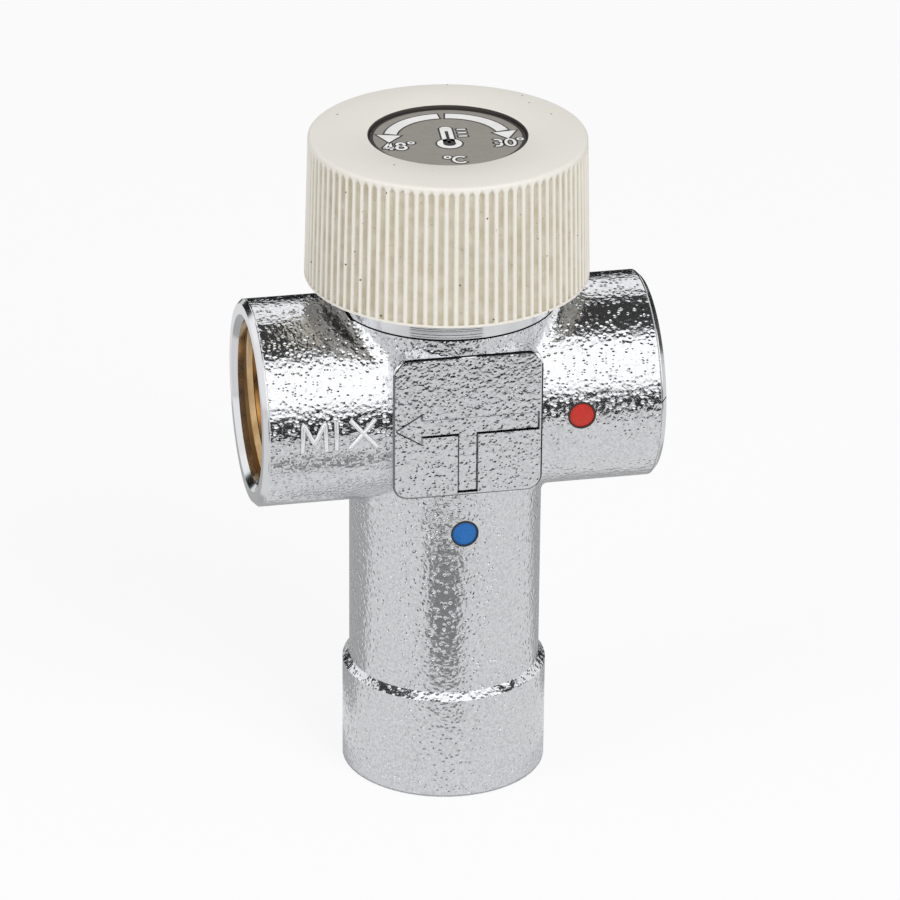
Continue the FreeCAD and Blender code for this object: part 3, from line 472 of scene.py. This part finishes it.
def make_knob():
    """The moulded knob with round-bottomed flutes that run out in points below the top edge."""
    low, high = KNOB_LOW.z, KNOB_HIGH.z
    cap_seat = CAP_TOP - 1.2 * MM
    screw_seat, hub_top = cap_seat - 1.8 * MM, cap_seat - 3.3 * MM
    ceiling, hub_low = cap_seat - 2.2 * MM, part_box("spindle")[1][2] - 5.5 * MM
    side = [low, low + 0.12 * MM, low + FLUTE_START, low + FLUTE_START + 0.02 * MM]
    plain_rows = 3
    side += [low + 1.2 * MM + (high - low - 3.4 * MM) * step / 4 for step in range(5)]
    side += [high - (2.0 - 0.16 * step) * MM for step in range(10)]
    profile = [(knob_side(height), height) for height in side]
    edge_steps = 6
    for step in range(edge_steps + 1):
        angle = math.pi / 2 * step / edge_steps
        profile.append((KNOB_RADIUS_TOP - KNOB_EDGE * (1 - math.cos(angle)),
                        high - KNOB_EDGE * (1 - math.sin(angle))))
    outer_rows = len(profile)
    recess = CAP_RADIUS + 0.15 * MM
    profile += [
        (recess + 0.25 * MM, high), (recess + 0.08 * MM, high - 0.06 * MM), (recess, high - 0.2 * MM),
        (recess, cap_seat), (SCREW_RECESS, cap_seat), (SCREW_RECESS, screw_seat),
        (SCREW_BORE, screw_seat), (SCREW_BORE, hub_top), (HUB_BORE, hub_top),
        (HUB_BORE, hub_low), (KNOB_HUB, hub_low), (KNOB_HUB, ceiling), (KNOB_BORE, ceiling),
        (KNOB_BORE, low + 0.2 * MM), (KNOB_BORE + 0.2 * MM, low),
    ]

    def radius_at(row, angle):
        radius, height = profile[row]
        if row < plain_rows or row >= outer_rows:
            return radius
        wave = 0.5 - 0.5 * math.cos(FLUTES * angle)
        depth = FLUTE_DEPTH * (1 - (1 - wave) ** 1.25)
        runout = max(0.0, height - (high - 1.5 * MM)) * 0.42
        return radius - max(0.0, depth - runout)

    verts, faces = turned(profile, FLUTES * 12, radius_at)
    inner, outer = KNOB_HUB - RIB_SINK, KNOB_BORE + RIB_SINK
    for rib in range(RIBS):
        angle = 2 * math.pi * rib / RIBS + math.pi / 2
        along = Vector((math.cos(angle), math.sin(angle), 0))
        across = Vector((-math.sin(angle), math.cos(angle), 0))
        first = len(verts)
        for height in (ceiling - RIB_HEIGHT, ceiling + RIB_SINK):
            for reach, side_step in ((inner, -1), (outer, -1), (outer, 1), (inner, 1)):
                spot = along * reach + across * (RIB_HALF * side_step)
                verts.append((spot.x, spot.y, height))
        faces += [tuple(first + corner for corner in face) for face in (
            (0, 1, 2, 3), (7, 6, 5, 4), (0, 4, 5, 1), (1, 5, 6, 2), (2, 6, 7, 3), (3, 7, 4, 0))]
    piece = make_piece("fluted_knob", verts, faces, "control", "knob", knob_paint())
    smooth_by_angle(piece, 38)
    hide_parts("knob")


# ---------------------------------------------------------------- threads

def make_thread(name, axis, low, high):
    """Female G 3/4 thread: one helical ridge on the wall of a bore from depth low to high along axis.
    axis is (origin, along, across, third)."""
    root, crest = THREAD_RADIUS + 0.02 * MM, THREAD_RADIUS - THREAD_DEPTH
    shoulder, flank_width = crest + 0.14 * MM, 0.62 * THREAD_PITCH
    outline = [(root, -0.80), (shoulder, -0.17), (crest, -0.06), (crest, 0.06), (shoulder, 0.17), (root, 0.80)]
    steps, fade_steps = 96, 24
    count = int(((high - low) / THREAD_PITCH - 1) * steps)
    origin, along, across, third = axis
    verts, faces = [], []
    for step in range(count + 1):
        angle = 2 * math.pi * step / steps
        fade = min(1.0, step / fade_steps, (count - step) / fade_steps)
        middle = low + THREAD_PITCH * (0.5 + step / steps)
        direction = across * math.cos(angle) + third * math.sin(angle)
        for radius, shift in outline:
            reach = root - (root - radius) * fade
            verts.append(tuple(origin + along * (middle + shift * flank_width) + direction * reach))
    width = len(outline)
    for step in range(count):
        for edge in range(width):
            after = (edge + 1) % width
            faces.append((step * width + edge, step * width + after,
                          (step + 1) * width + after, (step + 1) * width + edge))
    faces.append(tuple(range(width)))
    faces.append(tuple(count * width + edge for edge in reversed(range(width))))
    smooth_by_angle(make_piece(name, verts, faces, "casting", "valve_body", THREAD_PAINT), 40)


# ---------------------------------------------------------------- raised letters and printed marks

def ribbon(points, width):
    """Outline of a stroke of that width along 2-D points, as left and right edges."""
    left, right = [], []
    for index, point in enumerate(points):
        before, after = points[max(index - 1, 0)], points[min(index + 1, len(points) - 1)]
        run = (Vector(after) - Vector(before)).normalized()
        across = Vector((-run.y, run.x)) * width / 2
        left.append(Vector(point) + across)
        right.append(Vector(point) - across)
    return left, right


# Cross sections of strokes, as (share of the half width, share of the height).
ROUND_SECTION = [(-1.0, 0.0), (-0.82, 0.42), (-0.52, 0.84), (-0.2, 1.0),
                 (0.2, 1.0), (0.52, 0.84), (0.82, 0.42), (1.0, 0.0)]
FLAT_SECTION = [(-1.0, 0.0), (-1.0, 1.0), (1.0, 1.0), (1.0, 0.0)]


def stroke_solid(points, width, place, low, high, section):
    """Verts and faces of a stroke from height low to high. place(u, v, height) gives the point in space."""
    left, right = ribbon(points, width)
    verts, faces = [], []
    for edge_left, edge_right in zip(left, right):
        for across, rise in section:
            spot = edge_left.lerp(edge_right, (across + 1) / 2)
            verts.append(place(spot.x, spot.y, low + (high - low) * rise))
    count, row = len(points), len(section)
    for index in range(count - 1):
        here, there = index * row, (index + 1) * row
        for edge in range(row):
            after = (edge + 1) % row
            faces.append((here + edge, here + after, there + after, there + edge))
    faces += [tuple(range(row)), tuple(row * (count - 1) + edge for edge in reversed(range(row)))]
    return verts, faces


def merge(parts):
    """Several (verts, faces) as one."""
    verts, faces = [], []
    for some_verts, some_faces in parts:
        first = len(verts)
        verts += some_verts
        faces += [tuple(first + index for index in face) for face in some_faces]
    return verts, faces


def subdivide(points, step):
    """More points along straight runs, so that a stroke can follow a curved wall."""
    fine = [Vector(points[0])]
    for start, finish in zip(points, points[1:]):
        start, finish = Vector(start), Vector(finish)
        count = max(1, round((finish - start).length / step))
        fine += [start.lerp(finish, index / count) for index in range(1, count + 1)]
    return fine


def make_cast_letters():
    """Thin raised capitals M I X on the front of the outlet, as cast function marks, in a painted highlight and
    with painted shade along their roots.
    """
    def place(u, v, height):
        angle, radius = v / PORT_RADIUS, PORT_RADIUS + height
        return (u, -radius * math.cos(angle), PORT_Z + radius * math.sin(angle))

    foot, top = -1.5 * MM, 3.1 * MM
    strokes = [
        [(-26.2, foot), (-26.0, top), (-24.3, foot + 1.2 * MM), (-22.6, top), (-22.4, foot)],
        [(-20.8, foot), (-20.8, top)],
        [(-18.7, foot), (-14.6, top)],
        [(-18.5, top), (-14.4, foot)],
    ]
    sink, letter_rise, root_shade_rise = -0.12 * MM, 0.42 * MM, 0.07 * MM
    letters, root_shades = [], []
    for stroke in strokes:
        points = subdivide([(x * MM, v) for x, v in stroke], 0.4 * MM)
        letters.append(stroke_solid(points, 0.80 * MM, place, sink, letter_rise, ROUND_SECTION))
        # A wider, low dark strip under each stroke: painted shade along the letter's root.
        root_shades.append(stroke_solid(points, 1.15 * MM, place, sink, root_shade_rise, ROUND_SECTION))
    smooth_by_angle(make_piece("cast_letters", *merge(letters), "casting", "valve_body", LETTER_HIGHLIGHT), 50)
    make_piece("cast_letter_root_shade", *merge(root_shades), "casting", "valve_body", DARK_PRINT_AND_SHADE)


def flat_outline(points, place, low, high):
    """A flat shape with a little thickness from its outline."""
    count = len(points)
    verts = [place(x, y, low) for x, y in points] + [place(x, y, high) for x, y in points]
    faces = [tuple(reversed(range(count))), tuple(range(count, 2 * count))]
    for index in range(count):
        after = (index + 1) % count
        faces.append((index, after, count + after, count + index))
    return verts, faces


def arc_points(radius, start, finish, centre=(0.0, 0.0), squash=1.0):
    """Points on an arc, angles in degrees anticlockwise from the right. squash narrows it sideways."""
    steps = max(6, round(abs(finish - start) / 6))
    turns = [math.radians(start + (finish - start) * step / steps) for step in range(steps + 1)]
    return [(centre[0] + radius * squash * math.cos(turn), centre[1] + radius * math.sin(turn)) for turn in turns]


# The print on the cap, in millimetres from the cap's centre, leaning a little to the right.
PRINT_LEAN = math.radians(5.5)
DIGIT_WIDE, DIGIT_TALL, DIGIT_GAP, DIGIT_LINE = 1.45, 2.7, 0.55, 0.46
BAR_LINE, SMALL_LINE, TICK_LINE, COLUMN_LINE = 1.9, 0.34, 0.42, 0.50

# Arcs of the round digits: level and radius as shares of the height, start, end, shift and squash.
DIGIT_ARCS = {
    "3": [(0.73, 0.27, 120, -120, -0.1, 0.9), (0.27, 0.27, 120, -120, -0.1, 0.9)],
    "8": [(0.79, 0.21, 0, 360, 0.0, 1.0), (0.27, 0.27, 0, 360, 0.0, 1.0)],
    "0": [(0.50, 0.50, 0, 360, 0.0, 0.52)],
}


def on_cap(x, y, height):
    return (x * MM * math.cos(PRINT_LEAN) + y * MM * math.sin(PRINT_LEAN),
            y * MM * math.cos(PRINT_LEAN) - x * MM * math.sin(PRINT_LEAN), CAP_TOP + height)


def digit_lines(digit, left, bottom):
    """Centre lines of a digit whose lower left corner is given."""
    middle, right = left + DIGIT_WIDE / 2, left + DIGIT_WIDE
    if digit == "4":
        upright, top, bar = right - 0.35, bottom + DIGIT_TALL, bottom + 0.8
        return [[(upright, bottom), (upright, top)],
                [(upright - 0.1, top), (left, bar - 0.05)],
                [(left - 0.1, bar), (right + 0.15, bar)]]
    lines = []
    for level, size, start, finish, shift, squash in DIGIT_ARCS[digit]:
        centre = (middle + shift, bottom + level * DIGIT_TALL)
        lines.append(arc_points(size * DIGIT_TALL, start, finish, centre, squash))
    return lines


def print_layer(name, strokes, shapes, grow, height, material):
    """Flat print of (width, points) strokes and closed shapes, all grown by a margin."""
    solids = []
    for width, points in strokes:
        points = [Vector(point) for point in points]
        closed = (points[0] - points[-1]).length < 0.1
        if grow and not closed:
            points[0] += (points[0] - points[1]).normalized() * grow
            points[-1] += (points[-1] - points[-2]).normalized() * grow
        solids.append(stroke_solid(points, width + 2 * grow, on_cap, 0.0, height, FLAT_SECTION))
    for outline in shapes:
        centre = sum((Vector(point) for point in outline), Vector((0, 0))) / len(outline)
        corner_grow = grow * (1.9 if len(outline) == 3 else 1)
        points = [Vector(point) + (Vector(point) - centre).normalized() * corner_grow for point in outline]
        solids.append(flat_outline(points, on_cap, 0.0, height))
    make_piece(name, *merge(solids), "control", "knob_cap", material, smooth=False)


def make_cap_print():
    """The printed scale on the cap: two curved arrows, 48 and 30 degrees, the unit and a thermometer."""
    strokes, shapes = [], []
    for side in (-1, 1):
        strokes.append((BAR_LINE, [(side * x, y) for x, y in arc_points(9.05, 86.4, 14)]))
        shapes.append([(side * x, y) for x, y in ((10.95, 2.1), (7.25, 1.4), (9.35, -1.2))])
    for number, left, bottom in (("48", -10.35, -4.3), ("30", 6.75, -4.2)):
        for digit in number:
            strokes += [(DIGIT_LINE, line) for line in digit_lines(digit, left, bottom)]
            left += DIGIT_WIDE + DIGIT_GAP
        degree = (left - DIGIT_GAP + 0.95, bottom + DIGIT_TALL - 0.1)
        strokes.append((SMALL_LINE, arc_points(0.42, 0, 360, degree)))
    strokes.append((SMALL_LINE, arc_points(0.45, 0, 360, (-0.95, -8.1))))
    strokes.append((DIGIT_LINE, arc_points(1.25, 45, 315, (0.95, -9.2), 0.85)))

    bulb, tube_top = (0, -2.5), (0, 3.55)
    strokes.append((BAR_LINE, [(0, -2.4), (0, 3.6)]))
    shapes += [arc_points(1.95, 0, 354, bulb), arc_points(BAR_LINE / 2, 0, 180, tube_top)]
    strokes += [(TICK_LINE, [(1.75, level), (3.1, level)]) for level in (0.4, 1.8, 3.2)]
    column = [(COLUMN_LINE, [(0, -2.4), (0, 2.6)])]

    print_layer("cap_print_outline", strokes, shapes, 0.27, 0.02 * MM, DARK_PRINT_AND_SHADE)
    print_layer("cap_print", strokes, shapes, 0.0, 0.04 * MM, WHITE_PRINT)
    print_layer("cap_print_column", column, [arc_points(1.0, 0, 354, bulb)], 0.0, 0.06 * MM, DARK_PRINT_AND_SHADE)
    circle = arc_points(CAP_RADIUS / MM - 0.28, 0, 360)
    print_layer("cap_print_rim", [(0.5, circle)], [], 0.0, 0.03 * MM, DARK_PRINT_AND_SHADE)


def make_marker_rims():
    """Thin dark lines where the colour marks meet the casting."""
    wide, sunk, raised = 0.26 * MM, -0.05 * MM, 0.09 * MM
    section = ((0.0, sunk), (0.0, raised), (wide, raised), (wide, sunk))
    steps, sides = 48, len(section)
    for slot, low, high, wall in (("hot_marker", HOT_LOW, HOT_HIGH, PORT_RADIUS),
                                  ("cold_marker", COLD_LOW, COLD_HIGH, NECK_RADIUS)):
        middle, radius = (low + high) / 2, (high.x - low.x) / 2 - 0.02 * MM
        verts, faces = [], []
        for step in range(steps):
            turn = 2 * math.pi * step / steps
            for grow, lift in section:
                x = middle.x + (radius + grow) * math.cos(turn)
                z = middle.z + (radius + grow) * math.sin(turn)
                aside = z - PORT_Z if slot == "hot_marker" else x
                verts.append((x, -math.sqrt((wall + lift) ** 2 - aside ** 2), z))
        for step in range(steps):
            here, there = step * sides, (step + 1) % steps * sides
            for edge in range(sides):
                after = (edge + 1) % sides
                faces.append((here + edge, there + edge, there + after, here + after))
        make_piece(slot + "_rim", verts, faces, "casting", slot, DARK_PRINT_AND_SHADE)


def make_overtravel_spring():
    """The overtravel spring again, as a steel copy that rides on the setting body."""
    node = NODES["overtravel_spring"]
    mesh = node.data.copy()
    mesh.transform(node.matrix_world)
    mesh.name = "overtravel_coil"
    coil = bpy.data.objects.new("overtravel_coil", mesh)
    scene.collection.objects.link(coil)
    for material_slot in coil.material_slots:
        material_slot.material = STEEL
    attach(coil, "setting")
    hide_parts("overtravel_spring")
    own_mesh(coil)


# ---------------------------------------------------------------- build

CAST_PAINT = casting_paint()
THREAD_PAINT = thread_paint()
# Whiter, partly diffuse chrome for the raised letters: a painted highlight over them.
LETTER_HIGHLIGHT = flat_paint("letters_painted_highlight", (0.86, 0.87, 0.88), 0.26, metallic=0.55)
# Near-black print, also used as painted shade along the letters' roots.
DARK_PRINT_AND_SHADE = flat_paint("dark_outline", (0.020, 0.017, 0.015), 0.6)
WHITE_PRINT = flat_paint("white_print", (0.86, 0.86, 0.84), 0.5)
STEEL = turned_paint("bright_steel", (0.60, 0.60, 0.59), 0.22)
BRASS_TURNED = turned_paint("turned_brass", (0.66, 0.44, 0.18), 0.24)
CHROME_TURNED = bonnet_paint()
RUBBER = flat_paint("black_rubber", (0.025, 0.025, 0.026), 0.55)
BLACK_PLASTIC = flat_paint("black_plastic", (0.05, 0.05, 0.055), 0.42)
WHITE_PLASTIC = flat_paint("white_plastic", (0.75, 0.74, 0.70), 0.40)
CAP_GREY = flat_paint("cap_grey", (0.262, 0.242, 0.208), 0.42, grain=2600.0)
RED = flat_paint("red_paint", (0.52, 0.022, 0.010), 0.32, grain=1500.0, depth=0.05)
BLUE = flat_paint("blue_paint", (0.0, 0.125, 0.42), 0.32, grain=1500.0, depth=0.05)

FINISHES = {
    CAST_PAINT: ["valve_body"],
    CHROME_TURNED: ["bonnet"],
    STEEL: ["spindle_clip", "plunger_clip", "overtravel_spring", "wax_piston", "return_spring",
            "spring_retainer", "retaining_ring", "knob_screw"],
    BRASS_TURNED: ["spindle", "carriage", "plunger", "lock_nut", "wax_capsule"],
    RUBBER: ["bonnet_o_ring", "spindle_o_ring_lower", "spindle_o_ring_upper", "shuttle_o_ring"],
    BLACK_PLASTIC: ["shuttle_sleeve", "cold_disc"],
    WHITE_PLASTIC: ["thrust_washer"],
    CAP_GREY: ["knob_cap"],
    RED: ["hot_marker"],
    BLUE: ["cold_marker"],
}
for material, names in FINISHES.items():
    for name in names:
        for material_slot in NODES[name].material_slots:
            material_slot.material = material

place_camera()
make_knob()
make_cast_letters()
make_cap_print()
make_marker_rims()
make_overtravel_spring()
X, Y, Z = Vector((1, 0, 0)), Vector((0, 1, 0)), Vector((0, 0, 1))
ports_centre, thread_end = Vector((0, 0, PORT_Z)), PORT_REACH - THREAD_INSET
make_thread("outlet_thread", (ports_centre, -X, Y, Z), thread_end - THREAD_LENGTH, thread_end)
make_thread("hot_thread", (ports_centre, X, Z, Y), thread_end - THREAD_LENGTH, thread_end)
make_thread("cold_thread", (Vector((0, 0, 0)), Z, X, Y), THREAD_INSET, THREAD_INSET + THREAD_LENGTH)


# ---------------------------------------------------------------- studio

AIM = Vector((0, 0, 0.062))
FLOOR_Z = BODY_LOW.z - 0.02 * MM


def glow_material(name, brightness):
    """An even glow: 1 is white."""
    material = bpy.data.materials.new(name)
    material.use_nodes = True
    tree = material.node_tree
    tree.nodes.remove(tree.nodes["Principled BSDF"])
    glow = tree.nodes.new("ShaderNodeEmission")
    glow.inputs["Color"].default_value = (1, 1, 1, 1)
    glow.inputs["Strength"].default_value = brightness
    tree.links.new(glow.outputs[0], tree.nodes["Material Output"].inputs[0])
    return material


def stage_card(name, verts, faces, brightness):
    """A studio card that only reflections see."""
    mesh = bpy.data.meshes.new(name)
    mesh.from_pydata(verts, [], faces)
    mesh.materials.append(glow_material(name, brightness))
    card = bpy.data.objects.new(name, mesh)
    scene.collection.objects.link(card)
    for kind in ("camera", "diffuse", "shadow", "transmission", "volume_scatter"):
        setattr(card, "visible_" + kind, False)


def frame_towards(azimuth, elevation):
    """Right, up and outward directions for a bearing from the front (-Y) towards +X, in degrees."""
    turn, rise = math.radians(azimuth), math.radians(elevation)
    out = Vector((math.sin(turn) * math.cos(rise), -math.cos(turn) * math.cos(rise), math.sin(rise)))
    right = Vector((math.cos(turn), math.sin(turn), 0))
    return right, out.cross(right), out


def make_card(name, azimuth, elevation, wide, tall, distance, brightness):
    """A flat card seen from the object at a bearing, wide and tall in degrees."""
    right, up, out = frame_towards(azimuth, elevation)
    half_u = distance * math.tan(math.radians(wide / 2))
    half_v = distance * math.tan(math.radians(tall / 2))
    centre = AIM + out * distance
    verts = [centre + right * u * half_u + up * v * half_v for u, v in ((-1, -1), (1, -1), (1, 1), (-1, 1))]
    stage_card(name, verts, [(0, 1, 2, 3)], brightness)


def make_patch(name, inner, outer, start, finish, brightness, lift=0.4 * MM):
    """A card lying on the floor: part of a ring about the object between two bearings."""
    steps = 24
    verts, faces = [], []
    for step in range(steps + 1):
        right, up, out = frame_towards(start + (finish - start) * step / steps, 0)
        verts += [Vector((out.x * reach, out.y * reach, FLOOR_Z + lift)) for reach in (inner, outer)]
    for step in range(steps):
        faces.append((2 * step, 2 * step + 1, 2 * step + 3, 2 * step + 2))
    stage_card(name, verts, faces, brightness)


def make_floor():
    """White floor that keeps the object's shadow. Reflections see the card wide_floor on it instead."""
    mesh = bpy.data.meshes.new("floor")
    reach = 3.0
    corner_signs = ((-1, -1), (1, -1), (1, 1), (-1, 1))
    mesh.from_pydata([(u * reach, v * reach, 0) for u, v in corner_signs], [], [(0, 1, 2, 3)])
    floor = bpy.data.objects.new("floor", mesh)
    floor.location.z = FLOOR_Z
    scene.collection.objects.link(floor)
    paint = Paint("floor_white", (0.84, 0.84, 0.84), roughness=0.8, Specular_IOR_Level=0.0)
    rays = paint.add("ShaderNodeLightPath").outputs
    glow = paint.tree.nodes.new("ShaderNodeEmission")
    glow.inputs["Color"].default_value = (1, 1, 1, 1)
    blend = paint.tree.nodes.new("ShaderNodeMixShader")
    seen = paint.math("ADD", paint.all_of(rays["Is Camera Ray"], 0.86),
                      paint.all_of(rays["Is Transmission Ray"], 0.8), clamp=True)
    paint.feed(blend.inputs[0], seen)
    paint.tree.links.new(paint.shader.outputs[0], blend.inputs[1])
    paint.tree.links.new(glow.outputs[0], blend.inputs[2])
    paint.tree.links.new(blend.outputs[0], paint.tree.nodes["Material Output"].inputs[0])
    mesh.materials.append(paint.material)


def make_world():
    """White where camera, reflections and glass see it, and a plainer light for everything else."""
    world = bpy.data.worlds.new("studio")
    scene.world = world
    world.use_nodes = True
    tree = world.node_tree
    background = tree.nodes["Background"]
    background.inputs["Strength"].default_value = 1.0
    rays = tree.nodes.new("ShaderNodeLightPath").outputs
    seen = rays["Is Camera Ray"]
    for ray in ("Is Glossy Ray", "Is Transmission Ray"):
        either = tree.nodes.new("ShaderNodeMath")
        either.operation = "MAXIMUM"
        tree.links.new(seen, either.inputs[0])
        tree.links.new(rays[ray], either.inputs[1])
        seen = either.outputs[0]
    mix = tree.nodes.new("ShaderNodeMix")
    mix.data_type = "RGBA"
    tree.links.new(seen, mix.inputs[0])
    mix.inputs[6].default_value = (0.58, 0.58, 0.59, 1)
    mix.inputs[7].default_value = (1, 1, 1, 1)
    tree.links.new(mix.outputs[2], background.inputs["Color"])


def make_lamp(name, centre, size, power):
    data = bpy.data.lights.new(name, "AREA")
    data.shape = "RECTANGLE"
    data.size, data.size_y = size
    data.energy = power
    lamp = bpy.data.objects.new(name, data)
    lamp.visible_glossy = False
    scene.collection.objects.link(lamp)
    turn = (Vector(centre) - AIM).to_track_quat("Z", "Y")
    lamp.matrix_world = Matrix.Translation(centre) @ turn.to_matrix().to_4x4()


scene.view_settings.view_transform = "Standard"
make_floor()
make_world()
make_lamp("key", (0.35, -0.75, 0.75), (0.5, 0.5), 5.5)
make_lamp("fill", (-0.8, -0.3, 0.5), (0.5, 0.6), 2.5)

# Cards: bearing, elevation, width and height in degrees, distance in metres, brightness.
# Patches: inner and outer reach in metres, first and last bearing in degrees, brightness.
make_card("front_softbox", 0, 38, 130, 50, 1.2, 1.45)
make_card("overhead_flag", 0, 96, 110, 52, 0.9, 0.05)
make_card("back_softbox", 0, 142, 110, 34, 1.2, 1.1)
make_card("back_room", 0, 173, 150, 24, 1.3, 0.01)
make_patch("back_floor", 0.15, 1.25, 110, 188, 0.01)
make_patch("back_near_floor", 0.03, 0.15, 108, 252, 0.45)
make_card("front_room", -12, 1, 72, 8, 1.1, 0.015)
make_patch("front_floor", 0.205, 1.15, -48, 24, 0.015)
make_patch("wide_floor", 0.02, 1.3, -180, 180, 0.80, lift=0.2 * MM)
shade_left, shade_right, shade_low, shade_high, shade_y = -0.026, 0.004, 0.001, 0.029, -0.05
shade_corners = [(shade_left, shade_low), (shade_right, shade_low),
                 (shade_right, shade_high), (shade_left, shade_high)]
stage_card("neck_shade", [(x, shade_y, z) for x, z in shade_corners], [(0, 1, 2, 3)], 0.26)
